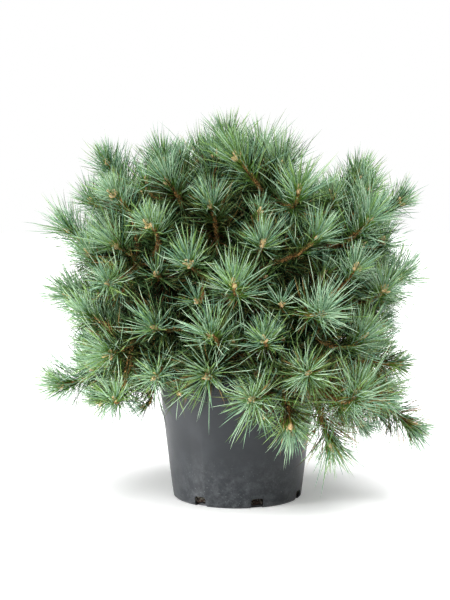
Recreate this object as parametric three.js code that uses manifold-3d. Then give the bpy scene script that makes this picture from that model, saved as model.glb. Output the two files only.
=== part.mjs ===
// A creeping Scots pine in a dark grey nursery container, about 57 cm tall and 59 cm wide.
// Millimetres, Z up. The origin is the middle of the container's flat underside.
// The front is -Y. An azimuth is in degrees from the front towards +X.

import * as THREE from "three";
import { mergeVertices } from "three/addons/utils/BufferGeometryUtils.js";
import Module from "manifold-3d";

const wasm = await Module();
wasm.setup();

// Driving dimensions of the container and its filling.
const pot = {
  height: 195,
  baseRadius: 96,
  shoulderRadius: 116.5,
  shoulderHeight: 169,
  rimRadius: 125,
  wall: 2,
  floor: 3,
  footBevel: 3,
  shoulderRise: 2,
  sides: 42,
};
const drainSlots = { count: 7, width: 19, height: 14.5, depth: 15, turn: 17 };
const soilLevel = 180;

// Clearance between pieces that touch, and the least space between two masses of needles.
const joinGap = 0.3;
const massGap = 1.2;

// The trunk, from its flat foot on the soil to its tip, where the top of the crown begins.
// The tip leans to the left and back, and the bow carries the stem the other way below it.
const trunk = {
  footRadius: 12.5,
  flareRadius: 19,
  flareShare: 0.16,
  tipRadius: 6.5,
  tip: [-9, 7, 292],
  bow: [9, -6],
  sides: 9,
  steps: 8,
};

// The dome on which the buds lie. A mass's heart is this far along its stem, and side twigs
// turn away from the axis at the height headingFrom.
const crown = {
  middle: 300,
  sideReach: 234,
  depthReach: 234,
  upReach: 223,
  downReach: 280,
  squareness: 3,
  lowestRise: -0.8,
  heartShare: 0.6,
  headingFrom: 230,
};

// The lowest that buds hang, as pairs of azimuth and height.
const skirt = [
  [-180, 165],
  [-128, 172],
  [-85, 128],
  [-60, 162],
  [-15, 182],
  [0, 168],
  [12, 126],
  [45, 114],
  [80, 120],
  [130, 150],
  [180, 165],
];

// Gaps between the leading shoots that show the sky, each a round hollow along Y.
const valleys = [
  { x: 114, z: 522, radius: 72 },
  { x: -150, z: 535, radius: 55 },
  { x: -95, z: 565, radius: 60 },
  { x: 262, z: 384, radius: 50 },
  { x: 255, z: 258, radius: 45 },
];

// Boughs: their radii, the share of their run where the mass begins, and how they leave and bend.
const bough = {
  foot: 5.4,
  sideFoot: 4.2,
  tip: 3.2,
  massFrom: 0.4,
  handle: 0.36,
  followTrunk: 1,
  followBough: 0.8,
  sides: 5,
  steps: 5,
};

// Side twigs: the layers of the dome that their buds are thrown at, as shares of its size.
const layers = [
  { from: 0.9, to: 1.02, spacing: 63, tries: 6000 },
  { from: 0.6, to: 0.8, spacing: 76, tries: 3000 },
];
const twig = {
  seed: 73,
  foot: 2.3,
  stemFoot: 2.9,
  least: 45,
  most: 190,
  shortCost: 1 / 20,
  longCost: 1 / 400,
  forkAngle: Math.PI / 4,
  feet: { first: 0.03, step: 0.06, count: 13, tried: 5 },
  handle: 0.45,
  lift: 0.45,
  wobble: 1.4,
  borderGap: 7,
};

// Shoots: the needled end of a stem or twig is a slim core, whose faces are drawn out into needles.
const shoot = {
  length: 80,
  leastBare: 0.12,
  sides: 3,
  bareSteps: 1,
  needledSteps: 3,
  twist: Math.PI / 5,
  coreRadius: 4.2,
  tipRadius: 1.6,
};
const needle = {
  length: 44,
  spread: 0.15,
  share: 0.9,
  cuts: [1, 0.7, 0.45],
  room: 5,
  forwardAtFoot: 0.35,
  forwardAtTip: 1.3,
  lift: 0.25,
  leastOut: 0.25,
  radius: 2,
};
const clearance = { limb: 2, pot: 1.5 };

// Each bough: the limb that it leaves and the share of that limb's length where it does, then where
// its leading bud sits (azimuth, reach from the axis, height) and how far that bud looks up (pitch).
const boughPlan = {
  front_mid: { from: "trunk", at: 0.36, azimuth: -32, reach: 214, height: 270, pitch: 12 },
  front_right: { from: "trunk", at: 0.5, azimuth: 27, reach: 246, height: 294, pitch: 12 },
  right_mid: { from: "trunk", at: 0.4, azimuth: 76, reach: 238, height: 330, pitch: 30 },
  front_left: { from: "trunk", at: 0.62, azimuth: -48, reach: 226, height: 381, pitch: 32 },
  left_mid: { from: "trunk", at: 0.46, azimuth: -74, reach: 250, height: 308, pitch: 12 },
  back_right: { from: "trunk", at: 0.56, azimuth: 118, reach: 243, height: 290, pitch: 15 },
  back_mid: { from: "trunk", at: 0.44, azimuth: 178, reach: 248, height: 262, pitch: 5 },
  back_left: { from: "trunk", at: 0.64, azimuth: -120, reach: 246, height: 285, pitch: 15 },
  right_high: { from: "trunk", at: 0.78, azimuth: 78, reach: 240, height: 440, pitch: 34 },
  left_high: { from: "left_mid", at: 0.45, azimuth: -77, reach: 250, height: 400, pitch: 38 },
  left_top: { from: "trunk", at: 0.86, azimuth: -82, reach: 192, height: 497, pitch: 60 },
  front_left_top: { from: "front_left", at: 0.3, azimuth: -56, reach: 128, height: 500, pitch: 66 },
  front_upper_left: { from: "front_mid", at: 0.3, azimuth: -13, reach: 166, height: 437, pitch: 38 },
  front_middle: { from: "trunk", at: 0.7, azimuth: -19, reach: 205, height: 358, pitch: 24 },
  front_upper_right: { from: "front_right", at: 0.25, azimuth: 9, reach: 202, height: 385, pitch: 30 },
  front_right_top: { from: "trunk", at: 0.93, azimuth: 26, reach: 134, height: 487, pitch: 68 },
  right_top: { from: "right_high", at: 0.4, azimuth: 86, reach: 178, height: 478, pitch: 58 },
  back_top: { from: "trunk", at: 0.9, azimuth: 172, reach: 118, height: 505, pitch: 66 },
  back_right_high: { from: "back_right", at: 0.4, azimuth: 136, reach: 226, height: 420, pitch: 40 },
  back_left_high: { from: "back_left", at: 0.4, azimuth: -143, reach: 222, height: 430, pitch: 42 },
  front_hanging: { from: "trunk", at: 0.28, azimuth: 21, reach: 202, height: 137, pitch: -70 },
  front_low: { from: "front_hanging", at: 0.4, azimuth: -12, reach: 200, height: 208, pitch: -12 },
  left_front_low: { from: "front_left", at: 0.42, azimuth: -46, reach: 246, height: 234, pitch: -8 },
  left_low: { from: "left_mid", at: 0.55, azimuth: -79, reach: 262, height: 174, pitch: -6 },
  front_right_hanging: { from: "front_right", at: 0.5, azimuth: 40, reach: 200, height: 106, pitch: -66 },
  right_low: { from: "right_mid", at: 0.5, azimuth: 78, reach: 262, height: 113, pitch: -32 },
  back_right_low: { from: "back_right", at: 0.55, azimuth: 128, reach: 232, height: 165, pitch: -22 },
  back_left_low: { from: "back_left", at: 0.55, azimuth: -128, reach: 232, height: 172, pitch: -20 },
};
const topBud = { azimuth: -80, reach: 14, height: 528, pitch: 82, handle: 80 };

const finishes = {
  pot: { color: 0x3f4246, roughness: 0.55, metalness: 0 },
  soil: { color: 0x2b1d14, roughness: 1, metalness: 0 },
  bark: { color: 0x6b4226, roughness: 0.9, metalness: 0 },
  needles: { color: 0x5d8a6c, roughness: 0.6, metalness: 0 },
};

const up = new THREE.Vector3(0, 0, 1);

// A stream of numbers from 0 to 1 that is always the same for one seed.
function drawer(seed) {
  let state = seed;
  return () => {
    state = (state * 1664525 + 1013904223) % 4294967296;
    return state / 4294967296;
  };
}

// A point or a heading from an azimuth and a pitch or height.
function around(azimuth, reach, height) {
  const turn = THREE.MathUtils.degToRad(azimuth);
  return new THREE.Vector3(reach * Math.sin(turn), -reach * Math.cos(turn), height);
}

function heading(azimuth, pitch) {
  const rise = THREE.MathUtils.degToRad(pitch);
  return around(azimuth, Math.cos(rise), Math.sin(rise));
}

// Radius of the container's outer wall at a height, with the rim over the shoulder.
function potRadiusAt(height) {
  if (height > pot.shoulderHeight) return pot.rimRadius;
  const share = height / pot.shoulderHeight;
  return pot.baseRadius + (pot.shoulderRadius - pot.baseRadius) * share;
}

// A geometry becomes a solid, and a solid becomes a geometry again.
function solidOf(geometry) {
  for (const name of Object.keys(geometry.attributes)) {
    if (name !== "position") geometry.deleteAttribute(name);
  }
  const merged = mergeVertices(geometry, 1e-4);
  return new wasm.Manifold(
    new wasm.Mesh({
      numProp: 3,
      vertProperties: merged.attributes.position.array,
      triVerts: new Uint32Array(merged.index.array),
    }),
  );
}

function geometryOf(solid) {
  const mesh = solid.getMesh();
  return new THREE.BufferGeometry()
    .setAttribute("position", new THREE.BufferAttribute(mesh.vertProperties, 3))
    .setIndex(new THREE.BufferAttribute(mesh.triVerts, 1));
}

function largestBody(solid) {
  return solid.decompose().reduce((most, body) => (body.volume() > most.volume() ? body : most));
}

// A solid turned about the container's axis from pairs of radius and height.
function turned(points) {
  const profile = points.map(([radius, height]) => new THREE.Vector2(radius, height));
  return solidOf(new THREE.LatheGeometry(profile, pot.sides).rotateX(Math.PI / 2));
}

// A closed tube along a curve up to a share of it: a cylinder bent onto the curve. Each corner
// keeps its own share of the run, for the needles.
function sweep(curve, end, radiusAt, sides, steps, twist = 0) {
  const tube = new THREE.CylinderGeometry(1, 1, 1, sides, steps);
  const level = curve.getPoint(end).sub(curve.getPoint(0)).cross(up);
  const place = tube.attributes.position;
  const shares = new Float32Array(place.count);
  for (let i = 0; i < place.count; i++) {
    const share = place.getY(i) + 0.5;
    const spot = curve.getPoint(share * end);
    const along = curve.getTangent(share * end);
    const out = level.clone().projectOnPlane(along).normalize();
    out.applyAxisAngle(along, -twist * share * steps);
    const side = out.clone().cross(along);
    spot.addScaledVector(out, place.getX(i) * radiusAt(share));
    spot.addScaledVector(side, place.getZ(i) * radiusAt(share));
    place.setXYZ(i, spot.x, spot.y, spot.z);
    shares[i] = share;
  }
  return tube.setAttribute("share", new THREE.BufferAttribute(shares, 1));
}

// The container: one turned shell with a rim band, less its drain slots.
function makePot() {
  const inner = (height) => potRadiusAt(height) - pot.wall;
  const insideShoulder = pot.shoulderHeight - pot.shoulderRise;
  const shell = turned([
    [0, 0],
    [pot.baseRadius - pot.footBevel, 0],
    [potRadiusAt(pot.footBevel), pot.footBevel],
    [pot.shoulderRadius, pot.shoulderHeight],
    [pot.rimRadius, pot.shoulderHeight + pot.shoulderRise],
    [pot.rimRadius, pot.height],
    [pot.rimRadius - pot.wall, pot.height],
    [pot.rimRadius - pot.wall, pot.shoulderHeight + 2 * pot.shoulderRise],
    [inner(insideShoulder), insideShoulder],
    [inner(pot.floor), pot.floor],
    [0, pot.floor],
  ]);
  const slots = Array.from({ length: drainSlots.count }, (_, i) => {
    const azimuth = drainSlots.turn + (360 / drainSlots.count) * i;
    const spot = around(azimuth, pot.baseRadius, 0);
    const box = new THREE.BoxGeometry(drainSlots.width, drainSlots.depth, 2 * drainSlots.height);
    return solidOf(box.rotateZ(THREE.MathUtils.degToRad(azimuth)).translate(spot.x, spot.y, 0));
  });
  return slots.reduce((left, slot) => left.subtract(slot), shell);
}

// The soil fills the container up to just under the rim band.
function makeSoil() {
  const edge = (height) => potRadiusAt(height) - pot.wall - joinGap;
  const foot = pot.floor + joinGap;
  const neck = pot.shoulderHeight - 2 * pot.shoulderRise;
  return turned([
    [0, foot],
    [edge(foot), foot],
    [edge(neck), neck],
    [edge(neck), soilLevel],
    [0, soilLevel],
  ]);
}

// The trunk rises straight from the soil and leans over to its tip.
function trunkCurve() {
  const foot = new THREE.Vector3(0, 0, soilLevel + joinGap);
  const tip = new THREE.Vector3(...trunk.tip);
  const third = (tip.z - foot.z) / 3;
  const low = new THREE.Vector3(0, 0, foot.z + third);
  const high = new THREE.Vector3(tip.x + trunk.bow[0], tip.y + trunk.bow[1], tip.z - third);
  return new THREE.CubicBezierCurve3(foot, low, high, tip);
}

function trunkRadius(share) {
  const flare = Math.max(0, 1 - share / trunk.flareShare);
  const straight = trunk.footRadius + (trunk.tipRadius - trunk.footRadius) * share;
  return straight + (trunk.flareRadius - trunk.footRadius) * flare * flare;
}

// The whole run of a bough, from inside the limb that bears it to its leading bud.
function boughCurve(plan, parent) {
  const share = plan.at * parent.end;
  const foot = parent.curve.getPoint(share);
  const bud = around(plan.azimuth, plan.reach, plan.height);
  const span = foot.distanceTo(bud);
  const follow = plan.from === "trunk" ? bough.followTrunk : bough.followBough;
  const leave = bud.clone().sub(foot).normalize();
  leave.addScaledVector(parent.curve.getTangent(share), follow).normalize();
  const low = foot.clone().addScaledVector(leave, span * bough.handle);
  const high = bud.clone().addScaledVector(heading(plan.azimuth, plan.pitch), -span * bough.handle);
  return new THREE.CubicBezierCurve3(foot, low, high, bud);
}

// Limbs: the trunk and the boughs, each a curve up to its end, with a radius at each share of that.
function growLimbs() {
  const { sides, steps } = trunk;
  const limbs = new Map([["trunk", { curve: trunkCurve(), end: 1, radiusAt: trunkRadius, sides, steps }]]);
  for (const [name, plan] of Object.entries(boughPlan)) {
    const foot = plan.from === "trunk" ? bough.foot : bough.sideFoot;
    limbs.set(name, {
      curve: boughCurve(plan, limbs.get(plan.from)),
      end: bough.massFrom,
      radiusAt: (share) => foot + (bough.tip - foot) * share,
      sides: bough.sides,
      steps: bough.steps,
    });
  }
  return limbs;
}

// Balls along every limb, for the needles to stay clear of. The last few of a limb are its tip,
// where its own mass begins.
function limbBalls(limbs) {
  const count = 48;
  const tipFrom = 0.85;
  const balls = [];
  for (const [name, limb] of limbs) {
    for (let i = 0; i <= count; i++) {
      const share = i / count;
      const ball = new THREE.Sphere(limb.curve.getPoint(share * limb.end), limb.radiusAt(share));
      balls.push({ tipOf: share > tipFrom ? name : null, ball });
    }
  }
  return balls;
}

// Masses: each grows on from its limb's tip to the leading bud, and its space is what lies nearer
// to its heart than to any other's, so the walls between spaces are flat.
function layOutMasses(limbs) {
  const tip = new THREE.Vector3(...trunk.tip);
  const bud = around(topBud.azimuth, topBud.reach, topBud.height);
  const low = tip.clone().addScaledVector(limbs.get("trunk").curve.getTangent(1), topBud.handle);
  const high = bud.clone().addScaledVector(heading(topBud.azimuth, topBud.pitch), -topBud.handle);
  const leader = new THREE.CubicBezierCurve3(tip, low, high, bud);
  const masses = new Map([["top", { curve: leader, from: 0, limb: "trunk" }]]);
  for (const name of Object.keys(boughPlan)) {
    const { curve, end } = limbs.get(name);
    masses.set(name, { curve, from: end, limb: name });
  }
  for (const mass of masses.values()) {
    mass.heart = mass.curve.getPoint(mass.from + (1 - mass.from) * crown.heartShare);
    mass.twigs = [];
  }
  for (const mass of masses.values()) {
    const others = [...masses.values()].filter((other) => other !== mass);
    mass.walls = others.map((other) => {
      const normal = mass.heart.clone().sub(other.heart).normalize();
      const between = mass.heart.clone().lerp(other.heart, 0.5);
      return new THREE.Plane().setFromNormalAndCoplanarPoint(normal, between);
    });
  }
  return masses;
}

const limbs = growLimbs();
const balls = limbBalls(limbs);
const masses = layOutMasses(limbs);

// How far a point lies inside a mass's own space. It is less than nothing outside.
function depthInside(mass, point) {
  return Math.min(...mass.walls.map((wall) => wall.distanceToPoint(point)));
}

function clearOfLimbsAndPot(point, radius, ownLimb) {
  const reach = Math.hypot(point.x, point.y);
  const room = radius + clearance.pot;
  if (point.z < pot.height + room && reach < potRadiusAt(point.z) + room) return false;
  return balls.every(({ tipOf, ball }) => {
    return tipOf === ownLimb || ball.distanceToPoint(point) > radius + clearance.limb;
  });
}

// Where the skirt of the crown ends at an azimuth.
function skirtAt(azimuth) {
  const next = Math.max(1, skirt.findIndex(([turn]) => turn >= azimuth));
  const [from, low] = skirt[next - 1];
  const [to, high] = skirt[next];
  return THREE.MathUtils.mapLinear(azimuth, from, to, low, high);
}

// A bud thrown at a layer of the dome.
function thrownBud(layer, draw) {
  const azimuth = 360 * draw() - 180;
  const rise = crown.lowestRise + (1 - crown.lowestRise) * draw();
  const share = layer.from + (layer.to - layer.from) * draw();
  const wobble = new THREE.Vector3(draw() - 0.5, draw() - 0.5, draw() - 0.5);
  const way = around(azimuth, Math.sqrt(1 - rise * rise), rise);
  const tall = rise > 0 ? crown.upReach : crown.downReach;
  const shares = [way.x / crown.sideReach, way.y / crown.depthReach, way.z / tall];
  const sum = shares.reduce((total, one) => total + Math.abs(one) ** crown.squareness, 0);
  const spot = way.multiplyScalar(share / sum ** (1 / crown.squareness)).addScaledVector(up, crown.middle);
  const arrive = spot.clone().addScaledVector(up, -crown.headingFrom).normalize();
  arrive.addScaledVector(up, twig.lift).addScaledVector(wobble, twig.wobble).normalize();
  const inValley = valleys.some((valley) => Math.hypot(spot.x - valley.x, spot.z - valley.z) < valley.radius);
  return spot.z < skirtAt(azimuth) || inValley ? null : { spot, arrive };
}

// A side twig is kept where all of its core has room.
function twigHasRoom(curve, mass) {
  const steps = 10;
  for (let i = 0; i <= steps; i++) {
    const spot = curve.getPoint(i / steps);
    if (depthInside(mass, spot) < shoot.coreRadius + massGap / 2) return false;
    if (!clearOfLimbsAndPot(spot, i === 0 ? 0 : shoot.coreRadius, mass.limb)) return false;
  }
  return true;
}

// The curve of a side twig to a bud: it leaves the stem where it can run out at about half a
// right angle and has room. There is none where no foot will do.
function twigCurve(mass, { spot, arrive }) {
  const feet = Array.from({ length: twig.feet.count }, (_, i) => {
    const share = mass.from + (1 - mass.from) * (twig.feet.first + twig.feet.step * i);
    const foot = mass.curve.getPoint(share);
    const way = spot.clone().sub(foot);
    const length = way.length();
    const bend = Math.abs(way.angleTo(mass.curve.getTangent(share)) - twig.forkAngle);
    const cost = bend + Math.max(0, twig.least - length) * twig.shortCost + length * twig.longCost;
    return { cost, foot, length };
  });
  const near = feet.filter(({ length }) => length < twig.most).sort((one, other) => one.cost - other.cost);
  const curves = near.slice(0, twig.feet.tried).map(({ foot, length }) => {
    const bend = spot.clone().addScaledVector(arrive, -twig.handle * length);
    return new THREE.QuadraticBezierCurve3(foot, bend, spot);
  });
  return curves.find((curve) => twigHasRoom(curve, mass));
}

// Side twigs, each to a bud that is thrown at the dome and kept where there is room.
function growTwigs() {
  const draw = drawer(twig.seed);
  const spots = [...masses.values()].map((mass) => mass.curve.getPoint(1));
  for (const layer of layers) {
    for (let i = 0; i < layer.tries; i++) {
      const bud = thrownBud(layer, draw);
      if (!bud || spots.some((spot) => spot.distanceTo(bud.spot) < layer.spacing)) continue;
      const mass = [...masses.values()].find((one) => depthInside(one, bud.spot) > twig.borderGap);
      const curve = mass && twigCurve(mass, bud);
      if (!curve) continue;
      mass.twigs.push(curve);
      spots.push(bud.spot);
    }
  }
}

// A shoot's curve from a share of its limb, with most of its steps in the needled length.
function shootCurve(curve, from) {
  const bare = shoot.bareSteps / (shoot.bareSteps + shoot.needledSteps);
  const start = Math.max(shoot.leastBare, 1 - shoot.length / (curve.getLength() * (1 - from)));
  const run = new THREE.Curve();
  run.getPoint = (share, target) => {
    const along = share < bare ? (start * share) / bare : THREE.MathUtils.mapLinear(share, bare, 1, start, 1);
    return curve.getPoint(from + (1 - from) * along, target);
  };
  run.bare = bare;
  return run;
}

// One shoot: a three-sided twig that swells to its core, with needles drawn out of the core.
function makeShoot(shootRun, footRadius, space, draw) {
  const steps = shoot.bareSteps + shoot.needledSteps;
  const radiusAt = (share) => {
    if (share < shootRun.bare / 2) return footRadius;
    return share > 1 - shootRun.bare / 2 ? shoot.tipRadius : shoot.coreRadius;
  };
  const tube = sweep(shootRun, 1, radiusAt, shoot.sides, steps, shoot.twist).toNonIndexed();
  const { position, share } = tube.attributes;
  const corners = [];
  for (let i = 0; i < position.count; i += 3) {
    const face = [0, 1, 2].map((k) => new THREE.Vector3().fromBufferAttribute(position, i + k));
    const middle = (share.getX(i) + share.getX(i + 1) + share.getX(i + 2)) / 3;
    const tip = needleTip(face, middle, shootRun, space, draw);
    if (tip) face.forEach((corner, k) => corners.push(corner, face[(k + 1) % 3], tip));
    else corners.push(...face);
  }
  return solidOf(new THREE.BufferGeometry().setFromPoints(corners));
}

// Where a face of the core is drawn out to, or nothing where no needle grows or has room.
function needleTip(face, share, shootRun, space, draw) {
  const length = needle.length * (1 + needle.spread * (2 * draw() - 1));
  if (draw() > needle.share || share < shootRun.bare) return null;
  const foot = face[0].clone().add(face[1]).add(face[2]).divideScalar(3);
  const out = new THREE.Triangle(...face).getNormal(new THREE.Vector3());
  const nearTip = (share - shootRun.bare) / (1 - shootRun.bare);
  const forward = THREE.MathUtils.lerp(needle.forwardAtFoot, needle.forwardAtTip, nearTip);
  const way = out.clone().addScaledVector(shootRun.getTangent(share), forward);
  way.addScaledVector(up, needle.lift).normalize();
  if (way.dot(out) < needle.leastOut) return null;
  for (const cut of needle.cuts) {
    const tip = foot.clone().addScaledVector(way, length * cut);
    const line = new THREE.Line3(foot, tip);
    if (needleHasRoom([...face, tip], line, shootRun, space)) {
      space.needles.push({ line, shootRun });
      return tip;
    }
  }
  return null;
}

// A needle keeps to its mass's space, and clear of other shoots, the limbs and the container.
function needleHasRoom(corners, line, shootRun, { mass, needles, cores }) {
  const spot = new THREE.Vector3();
  if (corners.some((corner) => depthInside(mass, corner) < massGap / 2)) return false;
  const crossed = ({ line: other }) => other.distanceSqToLine3(line) < needle.room ** 2;
  if (needles.some((other) => other.shootRun !== shootRun && crossed(other))) return false;
  const coreRoom = shoot.coreRadius + needle.room;
  const near = (core) => line.closestPointToPoint(core, true, spot).distanceTo(core) < coreRoom;
  if (cores.some((other) => other.shootRun !== shootRun && near(other.core))) return false;
  const steps = 8;
  for (let i = 1; i <= steps; i++) {
    line.at(i / steps, spot);
    if (!clearOfLimbsAndPot(spot, needle.radius * (1 - i / steps), mass.limb)) return false;
  }
  return true;
}

// A mass: the stem that grows on from the limb, with its side twigs fused to it.
function makeMass(mass, seed) {
  const draw = drawer(seed);
  const corePoints = 10;
  const stem = shootCurve(mass.curve, mass.from + joinGap / mass.curve.getLength());
  const runs = [stem, ...mass.twigs.map((curve) => shootCurve(curve, 0))];
  const cores = runs.flatMap((shootRun) => {
    return shootRun.getPoints(corePoints).map((core) => ({ shootRun, core }));
  });
  const space = { mass, cores, needles: [] };
  const shoots = runs.map((run) => makeShoot(run, run === stem ? twig.stemFoot : twig.foot, space, draw));
  return shoots.reduce((whole, part) => whole.add(part));
}

// The model: the container, the soil, the trunk, the boughs and the masses of needles.
const model = new THREE.Group();

function addPiece(name, solid, finish) {
  const piece = new THREE.Mesh(geometryOf(solid), new THREE.MeshStandardMaterial(finishes[finish]));
  piece.name = name;
  model.add(piece);
}

addPiece("pot", makePot(), "pot");
addPiece("soil", makeSoil(), "soil");

// Each limb is cut clear of the ones before it, and each mass of all the limbs.
const fullLimbs = [];
function cutClear(solid) {
  return largestBody(fullLimbs.reduce((left, other) => left.subtract(other), solid));
}

for (const [name, limb] of limbs) {
  const build = (extra) => {
    const radiusAt = (share) => limb.radiusAt(share) + extra;
    return solidOf(sweep(limb.curve, limb.end, radiusAt, limb.sides, limb.steps));
  };
  addPiece(name === "trunk" ? name : `bough_${name}`, cutClear(build(0)), "bark");
  fullLimbs.push(build(joinGap));
}

growTwigs();
for (const [index, [name, mass]] of [...masses].entries()) {
  addPiece(`needles_${name}`, cutClear(makeMass(mass, index + 1)), "needles");
}

export default model;
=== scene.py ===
# A creeping Scots pine in a dark grey nursery pot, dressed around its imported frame.
# Metres, Z up, the front is -Y. An azimuth is in degrees from the front towards +X.

import math
from functools import partial

import bpy
import numpy as np
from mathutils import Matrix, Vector
from mathutils.bvhtree import BVHTree


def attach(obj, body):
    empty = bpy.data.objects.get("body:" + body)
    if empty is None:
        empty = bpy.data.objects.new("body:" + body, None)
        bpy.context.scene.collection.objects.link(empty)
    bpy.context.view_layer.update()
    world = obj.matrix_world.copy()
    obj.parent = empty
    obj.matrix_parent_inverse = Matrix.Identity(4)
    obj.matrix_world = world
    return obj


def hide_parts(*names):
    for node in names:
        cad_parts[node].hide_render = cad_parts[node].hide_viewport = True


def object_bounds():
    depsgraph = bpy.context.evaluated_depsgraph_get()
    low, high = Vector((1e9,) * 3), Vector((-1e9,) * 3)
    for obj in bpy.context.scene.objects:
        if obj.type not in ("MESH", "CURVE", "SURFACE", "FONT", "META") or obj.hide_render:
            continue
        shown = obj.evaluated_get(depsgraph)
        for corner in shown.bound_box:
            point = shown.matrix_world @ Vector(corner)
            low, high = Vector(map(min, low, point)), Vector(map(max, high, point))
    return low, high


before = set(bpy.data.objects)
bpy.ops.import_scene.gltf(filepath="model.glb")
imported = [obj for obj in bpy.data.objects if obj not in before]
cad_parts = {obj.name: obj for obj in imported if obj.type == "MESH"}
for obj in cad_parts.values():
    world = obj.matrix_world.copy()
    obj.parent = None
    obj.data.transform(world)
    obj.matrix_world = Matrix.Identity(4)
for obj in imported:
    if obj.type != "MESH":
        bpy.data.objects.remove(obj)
cadLow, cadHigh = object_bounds()
up = np.array([0.0, 0.0, 1.0])
print("frame loaded:", len(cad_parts), "nodes")


# Small helpers

def paint(red, green, blue):
    # a colour given from 0 to 255, as the linear colour that a shader takes
    shares = [value / 255 for value in (red, green, blue)]
    linear = [s / 12.92 if s <= 0.04045 else ((s + 0.055) / 1.055) ** 2.4 for s in shares]
    return (*linear, 1.0)


def unit(vectors):
    return vectors / np.maximum(np.linalg.norm(vectors, axis=-1, keepdims=True), 1e-12)


def around(azimuth, reach, height):
    turn = math.radians(azimuth)
    return np.array([reach * math.sin(turn), -reach * math.cos(turn), height])


def heading(azimuth, pitch):
    rise = math.radians(pitch)
    return around(azimuth, math.cos(rise), math.sin(rise))


def blend(low, high, share):
    return low + (high - low) * share


def pointAt(curve, share):
    # the point of a Bezier curve at one share of it, or the points at several
    share = np.asarray(share, float)[..., None]
    points = [np.asarray(point, float) for point in curve]
    while len(points) > 1:
        points = [blend(one, other, share) for one, other in zip(points, points[1:])]
    return points[0]


def wayAt(curve, share):
    near = 0.0001
    share = np.asarray(share, float)
    return unit(pointAt(curve, np.minimum(share + near, 1)) - pointAt(curve, np.maximum(share - near, 0)))


def addObject(name, data):
    piece = bpy.data.objects.new(name, data)
    bpy.context.scene.collection.objects.link(piece)
    return piece


def meshFromTriangles(name, corners, triangles, materials, shadeIndex=None):
    # one mesh from arrays of corners and triangles, with a material index for each triangle
    mesh = bpy.data.meshes.new(name)
    count = len(triangles)
    mesh.vertices.add(len(corners))
    mesh.vertices.foreach_set("co", np.asarray(corners, np.float32).ravel())
    mesh.loops.add(3 * count)
    mesh.loops.foreach_set("vertex_index", np.asarray(triangles, np.int32).ravel())
    mesh.polygons.add(count)
    mesh.polygons.foreach_set("loop_start", np.arange(count, dtype=np.int32) * 3)
    for material in materials:
        mesh.materials.append(material)
    if shadeIndex is not None:
        mesh.polygons.foreach_set("material_index", np.asarray(shadeIndex, np.int32))
    mesh.update(calc_edges=True)
    mesh.validate()
    return mesh


# Camera and studio

camera = dict(lens=80.6, sensor=36, distance=2.0, side=-0.0185, height=0.45, aimHeight=0.2945)
# rise and front: a range of the sky's height or of its share towards the front, and the strength at its ends
studio = dict(
    floor=paint(243, 243, 244), floorRoughness=0.8, floorGlow=0.26, floorRadius=14.0, floorSides=96,
    rise=(0.17, 0.24, 1.0, 0.22), frontWay=(0.2, -0.98, 0), front=(-0.3, 0.7, 1.0, 0.12),
    sun=dict(azimuth=0, pitch=68, away=3, power=6.2, spread=70),
    softbox=dict(place=(-1.6, -0.66, 0.22), aim=(0, 0, 0.04), width=0.9, height=0.4, power=2.8, spread=34),
)


def lookAt(piece, aim):
    piece.rotation_euler = (Vector(aim) - piece.location).to_track_quat("-Z", "Y").to_euler()


def makeCamera():
    data = bpy.data.cameras.new("photoCamera")
    data.lens = camera["lens"]
    data.sensor_width = camera["sensor"]
    eye = addObject("photoCamera", data)
    eye.location = (camera["side"], -camera["distance"], camera["height"])
    lookAt(eye, (camera["side"], 0, camera["aimHeight"]))
    bpy.context.scene.camera = eye


def addLamp(name, kind, place, aim, **settings):
    lamp = bpy.data.lights.new(name, kind)
    for key, value in settings.items():
        setattr(lamp, key, value)
    piece = addObject(name, lamp)
    piece.location = place
    lookAt(piece, aim)


def makeStudio():
    # a sun over everything and a softbox at the left, aimed at the pot
    sun, box = studio["sun"], studio["softbox"]
    above = heading(sun["azimuth"], sun["pitch"]) * sun["away"]
    addLamp("sunLamp", "SUN", above, (0, 0, 0), energy=sun["power"], angle=math.radians(sun["spread"]))
    addLamp(
        "softbox", "AREA", box["place"], box["aim"], shape="RECTANGLE", size=box["width"],
        size_y=box["height"], energy=box["power"], spread=math.radians(box["spread"]))
    # a white horizon under a dimmer sky, dimmer again towards the front, so the crown keeps its depth
    world = bpy.data.worlds.new("studio")
    world.use_nodes = True
    nodes = Nodes(world.node_tree)
    way = nodes.node("ShaderNodeTexCoord").outputs["Generated"]
    rise = nodes.ranged(nodes.height(way), *studio["rise"])
    front = nodes.ranged(nodes.vector("DOT_PRODUCT", way, studio["frontWay"]), *studio["front"])
    sky = world.node_tree.nodes["Background"]
    nodes.into(sky, Color=(1, 1, 1, 1), Strength=nodes.times(rise, front))
    bpy.context.scene.world = world
    bpy.context.scene.view_settings.view_transform = "Standard"
    count = studio["floorSides"]
    spots = [around(360 / count * k, studio["floorRadius"], 0) for k in range(count)]
    mesh = bpy.data.meshes.new("floor")
    mesh.from_pydata(spots, [], [range(count)])
    paper = Pattern("floorPaper", studio["floor"], studio["floorRoughness"])
    mesh.materials.append(paper.painted(Emission_Color=(1, 1, 1, 1), Emission_Strength=studio["floorGlow"]))
    addObject("floor", mesh)


# Nodes

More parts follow.
